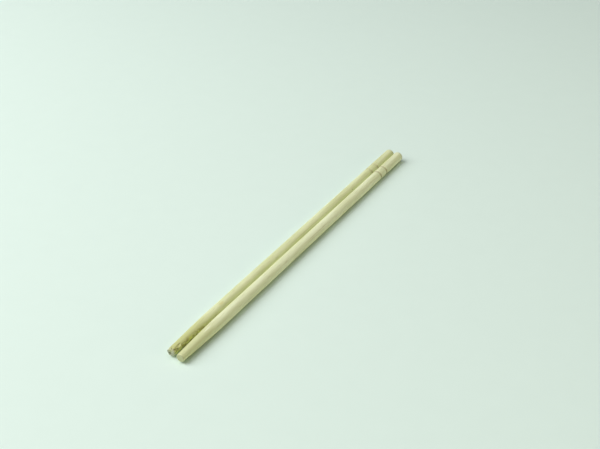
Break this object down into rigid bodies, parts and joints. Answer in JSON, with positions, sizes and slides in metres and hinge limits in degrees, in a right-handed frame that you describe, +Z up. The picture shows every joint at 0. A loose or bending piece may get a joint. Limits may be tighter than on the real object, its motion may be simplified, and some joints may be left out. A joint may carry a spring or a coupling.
{
  "type": "bamboo chopsticks",
  "caption": "Slim round bamboo chopsticks, laid side by side, with tapered blunt tips and shallow turned rings near the heads. The rear stick's tip is worn, split and chipped.",
  "frame": {"origin": "on the table, under the middle of the pair's bounding box", "axes": "+X along the sticks from the tips to the heads, +Y from the front stick to the rear stick, +Z up"},
  "size_m": [0.2104, 0.011, 0.0055],
  "materials": {
    "bamboo": "satin, turned and polished bare bamboo"
  },
  "bodies": {
    "root": {"front_chopstick": "bamboo", "rear_chopstick": "bamboo"}
  },
  "joints": []
}
